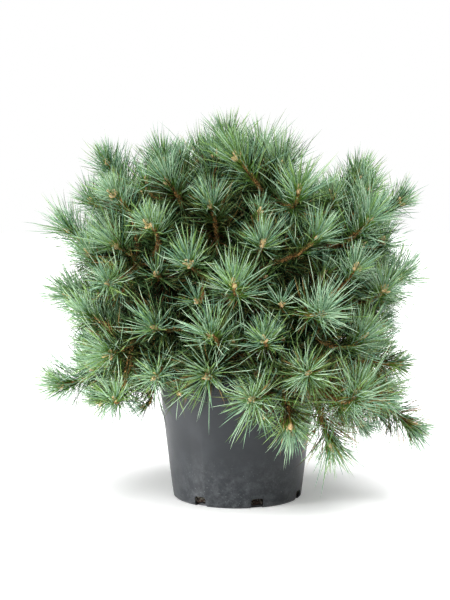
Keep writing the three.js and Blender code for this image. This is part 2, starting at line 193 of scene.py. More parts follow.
class Nodes:
    # writes a node tree: each call adds one node
    def __init__(self, tree):
        self.tree = tree

    def plug(self, value, socket):
        if isinstance(value, bpy.types.NodeSocket):
            self.tree.links.new(value, socket)
        else:
            socket.default_value = value

    def into(self, node, **sockets):
        for name, value in sockets.items():
            self.plug(value, next(s for s in node.inputs if s.enabled and s.name == name.replace("_", " ")))

    def node(self, kind, settings=None, *values, **sockets):
        made = self.tree.nodes.new(kind)
        for name, value in (settings or {}).items():
            setattr(made, name, value)
        for value, socket in zip(values, [s for s in made.inputs if s.enabled]):
            self.plug(value, socket)
        self.into(made, **sockets)
        return made

    def add(self, *given, **sockets):
        # a new node's first output
        return next(s for s in self.node(*given, **sockets).outputs if s.enabled)

    def math(self, operation, first, second):
        return self.add("ShaderNodeMath", dict(operation=operation), first, second)

    def times(self, first, second):
        return self.math("MULTIPLY", first, second)

    def vector(self, operation, first, second):
        return self.add("ShaderNodeVectorMath", dict(operation=operation), first, second)

    def height(self, place):
        return self.node("ShaderNodeSeparateXYZ", Vector=place).outputs["Z"]

    def ranged(self, value, low, high, toLow=0.0, toHigh=1.0):
        return self.add("ShaderNodeMapRange", None, value, low, high, toLow, toHigh)


# Materials

class Pattern(Nodes):
    # a material and its nodes
    def __init__(self, name, color, roughness, specular=0.5):
        self.material = bpy.data.materials.new(name)
        self.material.use_nodes = True
        super().__init__(self.material.node_tree)
        self.painted(Base_Color=color, Roughness=roughness, Specular_IOR_Level=specular)

    def painted(self, **sockets):
        self.into(self.tree.nodes["Principled BSDF"], **sockets)
        return self.material

    def place(self):
        return self.node("ShaderNodeTexCoord").outputs["Object"]

    def stretched(self, vector, scale):
        return self.add("ShaderNodeMapping", Vector=vector, Scale=scale)

    def noise(self, vector, scale, detail=3.0, roughness=0.6):
        return self.add("ShaderNodeTexNoise", Vector=vector, Scale=scale, Detail=detail, Roughness=roughness)

    def patches(self, vector, noise, span):
        return self.ranged(self.noise(vector, *noise), *span)

    def mixed(self, factor, first, second):
        return self.add("ShaderNodeMix", dict(data_type="RGBA"), factor, first, second)

    def bumped(self, height, distance, strength=1.0):
        return self.add("ShaderNodeBump", Height=height, Distance=distance, Strength=strength)


# each noise: its scale, detail and roughness; each span: the part of it that shows, and what it becomes
potPaint = dict(
    plastic=paint(24, 28, 32), worn=paint(34, 38, 42), dust=paint(122, 125, 128), roughness=0.42,
    specular=0.36, cloud=(26, 5), wornSpan=(0.42, 0.68), roughSpan=(0.3, 0.7, 0.36, 0.50),
    smudge=(72.8, 8, 0.78), smudgeSpan=(0.45, 0.68, 0.0, 0.50), speck=(420, 2), speckSpan=(0.64, 0.72),
    drawn=(60, 60, 9), scratch=(3.0, 4, 0.7), scratchSpan=(0.70, 0.74, 0.0, 0.5),
    dustSpan=(0.085, 0.01), dustShare=0.55, dustRough=0.3, grain=(1500, 2), grainRelief=(0.00012, 0.5),
)
mottled = dict(specular=0.5, spots=(2,), span=(0.40, 0.62))
earthy = dict(specular=0.25, spots=(6, 0.7), span=(0.42, 0.66), finer=9, grain=4, relief=0.001)
barkLook = dict(
    roughness=0.85, specular=0.3, drawn=(1, 1, 0.45), crackSpan=(0.02, 0.16), toneSize=0.5,
    tone=(5, 0.65), toneSpan=(0.38, 0.66), finer=4, grain=3, relief=0.0008,
)


def makePotMaterial():
    look = potPaint
    pattern = Pattern("greyPlastic", look["plastic"], look["roughness"], look["specular"])
    place = pattern.place()
    cloud = pattern.noise(place, *look["cloud"])
    plastic = pattern.mixed(pattern.ranged(cloud, *look["wornSpan"]), look["plastic"], look["worn"])
    smudges = pattern.patches(place, look["smudge"], look["smudgeSpan"])
    specks = pattern.patches(place, look["speck"], look["speckSpan"])
    scratches = pattern.patches(pattern.stretched(place, look["drawn"]), look["scratch"], look["scratchSpan"])
    marks = pattern.math("MAXIMUM", pattern.math("MAXIMUM", smudges, specks), scratches)
    marks = pattern.times(marks, pattern.ranged(pattern.height(place), *look["dustSpan"]))
    dusty = pattern.mixed(pattern.times(marks, look["dustShare"]), plastic, look["dust"])
    rough = pattern.ranged(cloud, *look["roughSpan"])
    rough = pattern.math("ADD", rough, pattern.times(marks, look["dustRough"]))
    relief = pattern.bumped(pattern.noise(place, *look["grain"]), *look["grainRelief"])
    return pattern.painted(Base_Color=dusty, Roughness=rough, Normal=relief)


def makeSpottedMaterial(name, look, main, other, scale, roughness):
    pattern = Pattern(name, main, roughness, look["specular"])
    place = pattern.place()
    spots = pattern.patches(place, (scale, *look["spots"]), look["span"])
    if "grain" in look:
        grain = pattern.noise(place, scale * look["finer"], look["grain"])
        pattern.painted(Normal=pattern.bumped(grain, look["relief"]))
    return pattern.painted(Base_Color=pattern.mixed(spots, main, other))


def makeBarkMaterial(name, colors):
    # flaking plates with warm bark between them
    look, scale = barkLook, colors["cells"]
    pattern = Pattern(name, colors["warm"], look["roughness"], look["specular"])
    place = pattern.place()
    drawn = pattern.stretched(place, look["drawn"])
    edges = pattern.add("ShaderNodeTexVoronoi", dict(feature="DISTANCE_TO_EDGE"), Vector=drawn, Scale=scale)
    cracks = pattern.ranged(edges, *look["crackSpan"])
    tone = pattern.patches(place, (scale * look["toneSize"], *look["tone"]), look["toneSpan"])
    color = pattern.mixed(cracks, colors["deep"], pattern.mixed(tone, colors["warm"], colors["plate"]))
    relief = pattern.math("ADD", cracks, pattern.noise(place, scale * look["finer"], look["grain"]))
    return pattern.painted(Base_Color=color, Normal=pattern.bumped(relief, look["relief"]))


# Geometry Nodes

class Tree(Nodes):
    # a geometry tree: its named inputs first, then a node for each call
    def __init__(self, name, floats, whole, materials):
        super().__init__(bpy.data.node_groups.new(name, "GeometryNodeTree"))
        for kind, labels in dict(Geometry="Geometry", Float=floats, Int=whole, Material=materials).items():
            for label in labels.split():
                self.tree.interface.new_socket(label, in_out="INPUT", socket_type="NodeSocket" + kind)
        self.tree.interface.new_socket("Geometry", in_out="OUTPUT", socket_type="NodeSocketGeometry")
        self.given = self.tree.nodes.new("NodeGroupInput").outputs

    def position(self):
        return self.add("GeometryNodeInputPosition")

    def attribute(self, name, kind="FLOAT"):
        return self.add("GeometryNodeInputNamedAttribute", dict(data_type=kind), Name=name)

    def copied(self, points, shape, turn, scale):
        # copies of a shape on points, made real
        copies = self.add(
            "GeometryNodeInstanceOnPoints", Points=points, Instance=shape, Rotation=turn, Scale=scale)
        return self.add("GeometryNodeRealizeInstances", Geometry=copies)

    def pushed(self, geometry, height):
        # moved along its normals
        offset = self.vector("SCALE", self.add("GeometryNodeInputNormal"), height)
        return self.add("GeometryNodeSetPosition", Geometry=geometry, Offset=offset)

    def smoothed(self, geometry):
        return self.add("GeometryNodeSetShadeSmooth", Geometry=geometry)

    def dressed(self, geometry, material, **chosen):
        return self.add("GeometryNodeSetMaterial", Geometry=geometry, Material=material, **chosen)

    def close(self, geometry):
        self.tree.links.new(geometry, self.tree.nodes.new("NodeGroupOutput").inputs[0])
        return self.tree

    def finish(self, geometry, material):
        realized = self.add("GeometryNodeRealizeInstances", Geometry=geometry)
        return self.close(self.dressed(realized, material))


def runTree(piece, tree, values):
    # runs a tree on a piece with its inputs set, and leaves the result as a plain mesh
    modifier = piece.modifiers.new(tree.name, "NODES")
    modifier.node_group = tree
    for item in tree.interface.items_tree:
        if item.in_out == "INPUT" and item.name in values:
            modifier[item.identifier] = values[item.name]
    graph = bpy.context.evaluated_depsgraph_get()
    made = bpy.data.meshes.new_from_object(piece.evaluated_get(graph))
    piece.modifiers.remove(modifier)
    old = piece.data
    piece.data = made
    made.name = piece.name
    bpy.data.meshes.remove(old)
    return piece


# Pot: one turned shell with a rim band, less its drain slots

pot = dict(
    height=0.195, baseRadius=0.096, shoulderRadius=0.1165, shoulderHeight=0.169, rimRadius=0.125,
    wall=0.002, floor=0.003, footBevel=0.003, shoulderRise=0.002, round=0.0012, sides=210, sharpAngle=32,
)
drainSlots = dict(count=7, width=0.019, height=0.0145, depth=0.015, turn=17, corner=0.0045)
slotTurns = [drainSlots["turn"] + 360 / drainSlots["count"] * slot for slot in range(drainSlots["count"])]


def potRadiusAt(height):
    share = np.clip(height / pot["shoulderHeight"], 0, 1)
    wall = blend(pot["baseRadius"], pot["shoulderRadius"], share)
    return np.where(height > pot["shoulderHeight"], pot["rimRadius"], wall)


def potInnerAt(height):
    return float(potRadiusAt(height)) - pot["wall"]


def rounded(points, radius, steps=4, parts=2.5):
    # a profile with each inner corner cut to a short arc, over one part of each side at most
    out = [points[0]]
    for before, corner, after in zip(points, points[1:], points[2:]):
        before, corner, after = (np.array(p, float) for p in (before, corner, after))
        cut = min(radius, np.linalg.norm(before - corner) / parts, np.linalg.norm(after - corner) / parts)
        start = corner + unit(before - corner) * cut
        end = corner + unit(after - corner) * cut
        out += [tuple(pointAt((start, corner, end), i / steps)) for i in range(steps + 1)]
    return out + [points[-1]]


def turnedMesh(name, profile, sides, materials):
    # a closed solid turned about the axis from pairs of radius and height that start and end on it
    ring = np.array(profile[1:-1])
    turns = 2 * math.pi * np.arange(sides) / sides
    grid = np.stack([
        ring[:, None, 0] * np.cos(turns), ring[:, None, 0] * np.sin(turns),
        ring[:, None, 1] + 0 * turns], axis=-1).reshape(-1, 3)
    ends = np.array([[0, 0, profile[0][1]], [0, 0, profile[-1][1]]])
    corners = np.concatenate([grid, ends])
    first, last, top = len(grid), len(grid) + 1, len(grid) - sides
    edges = [(side, (side + 1) % sides) for side in range(sides)]
    triangles = []
    for low in range(0, top, sides):
        high = low + sides
        for side, after in edges:
            triangles += [(low + side, low + after, high + after), (low + side, high + after, high + side)]
    for side, after in edges:
        triangles += [(first, after, side), (last, top + side, top + after)]
    return meshFromTriangles(name, corners, triangles, materials)


def makeSlotCutter():
    # every drain slot's cutter in one mesh: an arch with rounded upper corners, drawn through the wall
    half, high = drainSlots["width"] / 2, drainSlots["height"]
    outline = rounded([(-half, -high), (-half, high), (half, high), (half, -high)], drainSlots["corner"])
    count = len(outline)
    shape = [range(count), range(2 * count - 1, count - 1, -1)]
    shape += [(k, count + k, count + (k + 1) % count, (k + 1) % count) for k in range(count)]
    corners, faces = [], []
    for azimuth in slotTurns:
        out, side = around(azimuth, 1, 0), around(azimuth + 90, 1, 0)
        faces += [[len(corners) + k for k in face] for face in shape]
        for depth in (-0.5, 0.5):
            middle = out * (pot["baseRadius"] + depth * drainSlots["depth"])
            corners += [middle + side * x + up * z for x, z in outline]
    mesh = bpy.data.meshes.new("slotCutter")
    mesh.from_pydata(corners, [], faces)
    return addObject("slotCutter", mesh)


def makePot():
    inside = pot["shoulderHeight"] - pot["shoulderRise"]
    rimFoot = pot["shoulderHeight"] + pot["shoulderRise"]
    rim, bevel = pot["rimRadius"], pot["footBevel"]
    profile = [
        (0, 0), (pot["baseRadius"] - bevel, 0), (float(potRadiusAt(bevel)), bevel),
        (pot["shoulderRadius"], pot["shoulderHeight"]), (rim, rimFoot), (rim, pot["height"]),
        (rim - pot["wall"], pot["height"]), (rim - pot["wall"], rimFoot + pot["shoulderRise"]),
        (potInnerAt(inside), inside), (potInnerAt(pot["floor"]), pot["floor"]), (0, pot["floor"]),
    ]
    mesh = turnedMesh("pot", rounded(profile, pot["round"]), pot["sides"], [makePotMaterial()])
    piece = addObject("potShell", mesh)
    cutter = makeSlotCutter()
    cut = piece.modifiers.new("slots", "BOOLEAN")
    cut.object = cutter
    cut.solver = "EXACT"
    graph = bpy.context.evaluated_depsgraph_get()
    piece.data = bpy.data.meshes.new_from_object(piece.evaluated_get(graph))
    piece.modifiers.clear()
    bpy.data.objects.remove(cutter)
    piece.data.polygons.foreach_set("use_smooth", [True] * len(piece.data.polygons))
    piece.data.set_sharp_from_angle(angle=math.radians(pot["sharpAngle"]))
    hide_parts("pot")
    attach(piece, "root")


# Skeleton: the source's rule, so every limb, mass and bud is where the frame has it

joinGap = 0.0003
massGap = 0.0012
soilLevel = 0.180
trunk = dict(
    footRadius=0.0125, flareRadius=0.019, flareShare=0.16, tipRadius=0.0065,
    tip=(-0.009, 0.007, 0.292), bow=(0.009, -0.006),
)
crown = dict(
    middle=0.300, sideReach=0.234, depthReach=0.234, upReach=0.223, downReach=0.280,
    squareness=3, lowestRise=-0.8, heartShare=0.6, headingFrom=0.230,
)
skirt = [
    (-180, 0.165), (-128, 0.172), (-85, 0.128), (-60, 0.162), (-15, 0.182), (0, 0.168), (12, 0.126),
    (45, 0.114), (80, 0.120), (130, 0.150), (180, 0.165),
]
valleys = [
    (0.114, 0.522, 0.072), (-0.150, 0.535, 0.055), (-0.095, 0.565, 0.060), (0.262, 0.384, 0.050),
    (0.255, 0.258, 0.045),
]
bough = dict(
    foot=0.0054, sideFoot=0.0042, tip=0.0032, massFrom=0.4, handle=0.36, followTrunk=1, followBough=0.8,
)
layers = [
    dict(low=0.9, high=1.02, spacing=0.063, tries=6000),
    dict(low=0.6, high=0.8, spacing=0.076, tries=3000),
]
twig = dict(
    kind="twigs", leaves=(), seed=73, least=0.045, most=0.190, shortCost=50, longCost=2.5,
    forkAngle=math.pi / 4, firstFoot=0.03, footStep=0.06, feetCount=13, tried=5, handle=0.45, lift=0.45,
    wobble=1.4, borderGap=0.007,
)
core = dict(
    radius=0.0042, limbClearance=0.002, potClearance=0.0015, limbSteps=48, ownTipFrom=0.85, twigSteps=10,
)
stream = dict(factor=1664525, step=1013904223, size=4294967296)

# each bough: the limb it leaves, the share of that limb where it does, then its leading bud's
# azimuth, reach and height, and how far that bud looks up
boughPlan = {
    "front_mid": ("trunk", 0.36, -32, 0.214, 0.270, 12),
    "front_right": ("trunk", 0.5, 27, 0.246, 0.294, 12),
    "right_mid": ("trunk", 0.4, 76, 0.238, 0.330, 30),
    "front_left": ("trunk", 0.62, -48, 0.226, 0.381, 32),
    "left_mid": ("trunk", 0.46, -74, 0.250, 0.308, 12),
    "back_right": ("trunk", 0.56, 118, 0.243, 0.290, 15),
    "back_mid": ("trunk", 0.44, 178, 0.248, 0.262, 5),
    "back_left": ("trunk", 0.64, -120, 0.246, 0.285, 15),
    "right_high": ("trunk", 0.78, 78, 0.240, 0.440, 34),
    "left_high": ("left_mid", 0.45, -77, 0.250, 0.400, 38),
    "left_top": ("trunk", 0.86, -82, 0.192, 0.497, 60),
    "front_left_top": ("front_left", 0.3, -56, 0.128, 0.500, 66),
    "front_upper_left": ("front_mid", 0.3, -13, 0.166, 0.437, 38),
    "front_middle": ("trunk", 0.7, -19, 0.205, 0.358, 24),
    "front_upper_right": ("front_right", 0.25, 9, 0.202, 0.385, 30),
    "front_right_top": ("trunk", 0.93, 26, 0.134, 0.487, 68),
    "right_top": ("right_high", 0.4, 86, 0.178, 0.478, 58),
    "back_top": ("trunk", 0.9, 172, 0.118, 0.505, 66),
    "back_right_high": ("back_right", 0.4, 136, 0.226, 0.420, 40),
    "back_left_high": ("back_left", 0.4, -143, 0.222, 0.430, 42),
    "front_hanging": ("trunk", 0.28, 21, 0.202, 0.137, -70),
    "front_low": ("front_hanging", 0.4, -12, 0.200, 0.208, -12),
    "left_front_low": ("front_left", 0.42, -46, 0.246, 0.234, -8),
    "left_low": ("left_mid", 0.55, -79, 0.262, 0.174, -6),
    "front_right_hanging": ("front_right", 0.5, 40, 0.200, 0.106, -66),
    "right_low": ("right_mid", 0.5, 78, 0.262, 0.113, -32),
    "back_right_low": ("back_right", 0.55, 128, 0.232, 0.165, -22),
    "back_left_low": ("back_left", 0.55, -128, 0.232, 0.172, -20),
}
topBud = dict(azimuth=-80, reach=0.014, height=0.528, pitch=82, handle=0.080)


def drawer(state):
    # a stream of numbers from 0 to 1 that is always the same for one seed
    while True:
        state = (state * stream["factor"] + stream["step"]) % stream["size"]
        yield state / stream["size"]


def trunkCurve():
    foot = np.array([0, 0, soilLevel + joinGap])
    tip = np.array(trunk["tip"])
    third = (tip[2] - foot[2]) / 3
    low = foot + up * third
    high = tip + np.array([*trunk["bow"], -third])
    return (foot, low, high, tip)


def trunkRadius(share):
    flare = np.maximum(0, 1 - share / trunk["flareShare"])
    straight = blend(trunk["footRadius"], trunk["tipRadius"], share)
    return straight + (trunk["flareRadius"] - trunk["footRadius"]) * flare ** 2


def boughCurve(plan, parent):
    source, at, azimuth, reach, height, pitch = plan
    share = at * parent["end"]
    foot = pointAt(parent["curve"], share)
    bud = around(azimuth, reach, height)
    span = np.linalg.norm(bud - foot)
    follow = bough["followTrunk"] if source == "trunk" else bough["followBough"]
    leave = unit(unit(bud - foot) + wayAt(parent["curve"], share) * follow)
    low = foot + leave * span * bough["handle"]
    high = bud - heading(azimuth, pitch) * span * bough["handle"]
    return (foot, low, high, bud)


def growLimbs():
    limbs = {"trunk": dict(curve=trunkCurve(), end=1, radiusAt=trunkRadius)}
    for name, plan in boughPlan.items():
        foot = bough["foot"] if plan[0] == "trunk" else bough["sideFoot"]
        curve = boughCurve(plan, limbs[plan[0]])
        limbs[name] = dict(curve=curve, end=bough["massFrom"], radiusAt=partial(blend, foot, bough["tip"]))
    return limbs


def limbBalls(limbs):
    # balls along every limb, for the twigs to stay clear of
    shares = np.arange(core["limbSteps"] + 1) / core["limbSteps"]
    centres = np.concatenate([pointAt(limb["curve"], shares * limb["end"]) for limb in limbs.values()])
    radii = np.concatenate([limb["radiusAt"](shares) for limb in limbs.values()])
    tipOf = np.array([name if share > core["ownTipFrom"] else "" for name in limbs for share in shares])
    return centres, radii, tipOf


def layOutMasses(limbs):
    tip = np.array(trunk["tip"])
    bud = around(topBud["azimuth"], topBud["reach"], topBud["height"])
    low = tip + wayAt(limbs["trunk"]["curve"], 1) * topBud["handle"]
    high = bud - heading(topBud["azimuth"], topBud["pitch"]) * topBud["handle"]
    masses = [dict(name="top", curve=(tip, low, high, bud), start=0, limb="trunk")]
    for name in boughPlan:
        masses.append(dict(name=name, curve=limbs[name]["curve"], start=limbs[name]["end"], limb=name))
    for mass in masses:
        mass["heart"] = pointAt(mass["curve"], blend(mass["start"], 1, crown["heartShare"]))
        mass["twigs"], mass["fineTwigs"] = [], []
    for mass in masses:
        others = np.array([other["heart"] for other in masses if other is not mass])
        mass["wallWays"] = unit(mass["heart"] - others)
        mass["wallSpots"] = (mass["heart"] + others) / 2
    return masses


limbs = growLimbs()
ballCentres, ballRadii, ballTipOf = limbBalls(limbs)
masses = layOutMasses(limbs)


def depthInside(mass, point):
    # how far a point lies inside a mass's own space
    return ((point - mass["wallSpots"]) * mass["wallWays"]).sum(-1).min()


def clearOfLimbsAndPot(point, radius, ownLimb):
    room = radius + core["potClearance"]
    if point[2] < pot["height"] + room and np.hypot(point[0], point[1]) < potRadiusAt(point[2]) + room:
        return False
    gaps = np.linalg.norm(ballCentres - point, axis=1) - ballRadii
    return bool(((ballTipOf == ownLimb) | (gaps > radius + core["limbClearance"])).all())


def domeReach(rise):
    # the crown's reach to the side, to the front and up, or down where the rise is below zero
    tall = crown["upReach"] if rise > 0 else crown["downReach"]
    return np.array([crown["sideReach"], crown["depthReach"], tall])


def thrownBud(layer, draw):
    # a bud thrown at a layer of the dome, or nothing where it falls below the skirt or in a valley
    turn, rise, share, *wobble = (next(draw) for k in range(6))
    azimuth = 360 * turn - 180
    rise = blend(crown["lowestRise"], 1, rise)
    share = blend(layer["low"], layer["high"], share)
    wobble = np.array(wobble) - 0.5
    way = around(azimuth, math.sqrt(1 - rise * rise), rise)
    total = (np.abs(way / domeReach(rise)) ** crown["squareness"]).sum()
    spot = way * share / total ** (1 / crown["squareness"]) + up * crown["middle"]
    arrive = unit(unit(spot - up * crown["headingFrom"]) + up * twig["lift"] + wobble * twig["wobble"])
    inValley = any(math.hypot(spot[0] - x, spot[2] - z) < radius for x, z, radius in valleys)
    return None if spot[2] < np.interp(azimuth, *zip(*skirt)) or inValley else (spot, arrive)


def feetOn(mass, rule):
    # the spots that a side twig may leave from, each with the way of its stem or twig there
    shares = rule["firstFoot"] + rule["footStep"] * np.arange(rule["feetCount"])
    feet = []
    lines = [(mass["curve"], mass["start"])] + [(curve, 0) for kind in rule["leaves"] for curve in mass[kind]]
    for curve, start in lines:
        along = blend(start, 1, shares)
        feet += zip(pointAt(curve, along), wayAt(curve, along))
    return feet


def twigHasRoom(curve, mass):
    shares = np.arange(core["twigSteps"] + 1) / core["twigSteps"]
    for i, spot in enumerate(pointAt(curve, shares)):
        if depthInside(mass, spot) < core["radius"] + massGap / 2:
            return False
        if not clearOfLimbsAndPot(spot, core["radius"] if i else 0, mass["limb"]):
            return False
    return True


def twigCurve(mass, rule, spot, arrive):
    # a twig's curve to a bud from the foot that suits it best and has room
    rows = []
    for i, (foot, way) in enumerate(feetOn(mass, rule)):
        length = np.linalg.norm(spot - foot)
        bend = abs(math.acos(np.clip(unit(spot - foot) @ way, -1, 1)) - rule["forkAngle"])
        cost = bend + max(0, rule["least"] - length) * rule["shortCost"] + length * rule["longCost"]
        if length < rule["most"]:
            rows.append((cost, i, foot, length))
    for cost, i, foot, length in sorted(rows, key=lambda row: row[:2])[:rule["tried"]]:
        curve = (foot, spot - arrive * rule["handle"] * length, spot)
        if twigHasRoom(curve, mass):
            return curve
    return None


def growTwigs(layers, rule, draw, spots):
    # side twigs, each to a bud that is thrown at the dome and kept where there is room
    for layer in layers:
        for i in range(layer["tries"]):
            bud = thrownBud(layer, draw)
            if bud is None or np.linalg.norm(np.array(spots) - bud[0], axis=1).min() < layer["spacing"]:
                continue
            mass = next((one for one in masses if depthInside(one, bud[0]) > rule["borderGap"]), None)
            curve = mass and twigCurve(mass, rule, *bud)
            if curve:
                mass[rule["kind"]].append(curve)
                spots.append(bud[0])


draw = drawer(twig["seed"])
budSpots = [mass["curve"][-1] for mass in masses]
growTwigs(layers, twig, draw, budSpots)
print("twigs of the source:", sum(len(mass["twigs"]) for mass in masses))


# Finer twigs: the same rule again with buds closer together, on the twigs as well as the stems

fineLayers = [
    dict(low=0.74, high=0.90, spacing=0.050, tries=5000),
    dict(low=0.5, high=0.72, spacing=0.052, tries=4000),
    dict(low=0.2, high=0.5, spacing=0.046, tries=4000),
]
fineTwig = dict(
    twig, kind="fineTwigs", leaves=("twigs",), least=0.030, most=0.120, borderGap=0.006,
    firstFoot=0.25, footStep=0.12, feetCount=6,
)
growTwigs(fineLayers, fineTwig, draw, budSpots)
print("finer twigs:", sum(len(mass["fineTwigs"]) for mass in masses))


# Runs: every stem and twig as points a few millimetres apart, with its thickness and its needled length

shoots = dict(
    stem=dict(foot=0.0042, tip=0.0031, needled=0.125),
    twig=dict(foot=0.0036, tip=0.0028, needled=0.105),
    fine=dict(foot=0.0026, tip=0.0021, needled=0.085),
    step=0.003, fewest=4, sunk=0.012, samples=200, stemSamples=50,
)


def spotsOn(run, marks):
    # the spots at some distances along a run
    return np.stack([np.interp(marks, run["marks"], run["points"][:, axis]) for axis in range(3)], axis=-1)


def stepsOf(points):
    return np.linalg.norm(np.diff(points, axis=0), axis=1)


def makeRun(mass, curve, start, kind):
    size = shoots[kind]
    dense = pointAt(curve, np.linspace(start, 1, shoots["samples"]))
    along = np.concatenate([[0], stepsOf(dense).cumsum()])
    count = max(shoots["fewest"], round(along[-1] / shoots["step"]))
    marks = np.linspace(0, along[-1], count)
    points = spotsOn(dict(marks=along, points=dense), marks)
    thick = blend(size["foot"], size["tip"], marks / along[-1])
    return dict(
        mass=mass["name"], kind=kind, points=points, marks=marks, thick=thick, length=along[-1],
        needled=size["needled"])


def layOutRuns():
    runs = []
    for mass in masses:
        curve, start = mass["curve"], mass["start"]
        reach = stepsOf(pointAt(curve, np.linspace(0, 1, shoots["stemSamples"]))).sum()
        sunk = shoots["sunk"] / reach if start else 0
        runs.append(makeRun(mass, curve, start - sunk, "stem"))
        runs += [makeRun(mass, one, 0, "twig") for one in mass["twigs"]]
        runs += [makeRun(mass, one, 0, "fine") for one in mass["fineTwigs"]]
    return runs


runs = layOutRuns()
print("shoots in all:", len(runs))


# Wood: one node tree lays a rough skin along lines that carry their own thickness

def woodTree():
    tree = Tree("woodSkin", "step relief plateEdge grain", "sides seed", "bark")
    given = tree.given
    line = tree.add("GeometryNodeMeshToCurve", Mesh=given["Geometry"])
    line = tree.add("GeometryNodeResampleCurve", dict(mode="LENGTH"), Curve=line, Length=given["step"])
    ring = tree.add("GeometryNodeCurvePrimitiveCircle", Resolution=given["sides"], Radius=1.0)
    thick = tree.attribute("thick")
    skin = tree.add("GeometryNodeCurveToMesh", Curve=line, Profile_Curve=ring, Scale=thick, Fill_Caps=True)
    place = tree.vector("ADD", tree.position(), given["seed"])
    plates = tree.add("ShaderNodeTexVoronoi", Vector=place, Scale=given["grain"])
    height = tree.times(tree.math("SUBTRACT", given["plateEdge"], plates), given["relief"])
    rough = tree.pushed(skin, tree.times(height, thick))
    return tree.finish(tree.smoothed(rough), given["bark"])


def addPoints(name, spots, edges, **carried):
    # points or lines that carry numbers or ways for a node tree
    mesh = bpy.data.meshes.new(name)
    mesh.from_pydata(spots, edges, [])
    for label, values in carried.items():
        values = np.asarray(values, np.float32)
        kind, key = ("FLOAT_VECTOR", "vector") if values.ndim > 1 else ("FLOAT", "value")
        mesh.attributes.new(label, kind, "POINT").data.foreach_set(key, values.ravel())
    return addObject(name, mesh)


def woodFromLines(name, lines, tree, look, bark):
    # lines: pairs of points and their thickness
    edges, count = [], 0
    for points, thick in lines:
        edges += [(k, k + 1) for k in range(count, count + len(points) - 1)]
        count += len(points)
    points, thick = (np.concatenate(part) for part in zip(*lines))
    piece = addPoints(name, points, edges, thick=thick)
    runTree(piece, tree, dict(look, bark=makeBarkMaterial(bark, look)))
    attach(piece, "root")
    return piece


limbWood = dict(
    sides=28, step=0.0022, relief=0.30, plateEdge=0.45, grain=230, seed=3,
    samples=60, collar=0.5, collarLength=2.5,
    deep=paint(48, 34, 26), warm=paint(122, 76, 46), plate=paint(104, 88, 76), cells=260,
)
twigWood = dict(
    sides=7, step=0.0032, relief=0.60, plateEdge=0.45, grain=480, seed=8,
    deep=paint(78, 50, 28), warm=paint(222, 172, 104), plate=paint(176, 130, 78), cells=420,
)


def makeLimbs(tree):
    # the trunk and boughs, each bough with a collar where it leaves its limb
    shares = np.linspace(0, 1, limbWood["samples"])
    lines = []
    for name, limb in limbs.items():
        points = pointAt(limb["curve"], shares * limb["end"])
        thick = limb["radiusAt"](shares)
        if name != "trunk":
            marks = np.linalg.norm(points - points[0], axis=1)
            fade = np.exp(-marks / (limbWood["collarLength"] * thick[0]))
            thick = thick * (1 + limbWood["collar"] * fade)
        lines.append((points, thick))
    piece = woodFromLines("limbs", lines, tree, limbWood, "limbBark")
    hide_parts(*[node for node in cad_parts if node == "trunk" or node.startswith("bough_")])


massNodes = [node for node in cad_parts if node.startswith("needles_")]
makePot()
print("pot made")
wood = woodTree()
makeLimbs(wood)
twigs = woodFromLines("twigs", [(run["points"], run["thick"]) for run in runs], wood, twigWood, "twigBark")
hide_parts(*massNodes)
print("wood made")


# Buds: a cluster of pointed, resin-covered buds on the tip of each shoot

buds = dict(
    length=0.0124, width=0.0044, waist=1.15, taper=0.55, tip=0.36, sides=6, rings=6, seed=5,
    grown=dict(stem=1.2, twig=1.05, fine=0.7), grownBy=(0.85, 1.15), sunk=0.0015,
    side=(2, 4), turnBy=0.3, lean=(28, 50), small=(0.60, 0.85), sideSunk=0.003, sideOut=0.0008,
)
# two colours, the spots' scale and the roughness
budColors = dict(
    scales=(paint(168, 122, 78), paint(110, 74, 46), 700, 0.6),
    cream=(paint(228, 200, 150), paint(188, 148, 100), 700, 0.5),
)


def budTree():
    tree = Tree("budCluster", "length width waist taper tip", "sides rings", "scales cream")
    given = tree.given
    ball = tree.add("GeometryNodeMeshUVSphere", Segments=given["sides"], Rings=given["rings"], Radius=1.0)
    x, y, z = tree.node("ShaderNodeSeparateXYZ", Vector=tree.position()).outputs
    rise = tree.times(tree.math("ADD", z, 1.0), 0.5)
    waist = tree.math("SUBTRACT", given["waist"], tree.times(rise, given["taper"]))
    waist = tree.times(given["width"], waist)
    shaped = tree.add(
        "ShaderNodeCombineXYZ", None, tree.times(x, waist), tree.times(y, waist),
        tree.times(rise, given["length"]))
    marked = tree.add(
        "GeometryNodeStoreNamedAttribute", dict(data_type="FLOAT", domain="POINT"), Geometry=ball,
        Name="rise", Value=rise)
    bud = tree.add("GeometryNodeSetPosition", Geometry=marked, Position=shaped)
    aim = tree.attribute("aim", "FLOAT_VECTOR")
    turn = tree.add("FunctionNodeAlignRotationToVector", dict(axis="Z"), Vector=aim)
    placed = tree.copied(given["Geometry"], bud, turn, tree.attribute("size"))
    brown = tree.dressed(tree.smoothed(placed), given["scales"])
    above = tree.math("GREATER_THAN", tree.attribute("rise"), given["tip"])
    return tree.close(tree.dressed(brown, given["cream"], Selection=above))


def crossWays(ways):
    # two directions square to each way
    steep = 0.9
    level = np.where(np.abs(ways[:, 2:]) > steep, [[1.0, 0, 0]], [[0, 0, 1.0]])
    first = unit(np.cross(ways, level))
    return first, np.cross(ways, first)


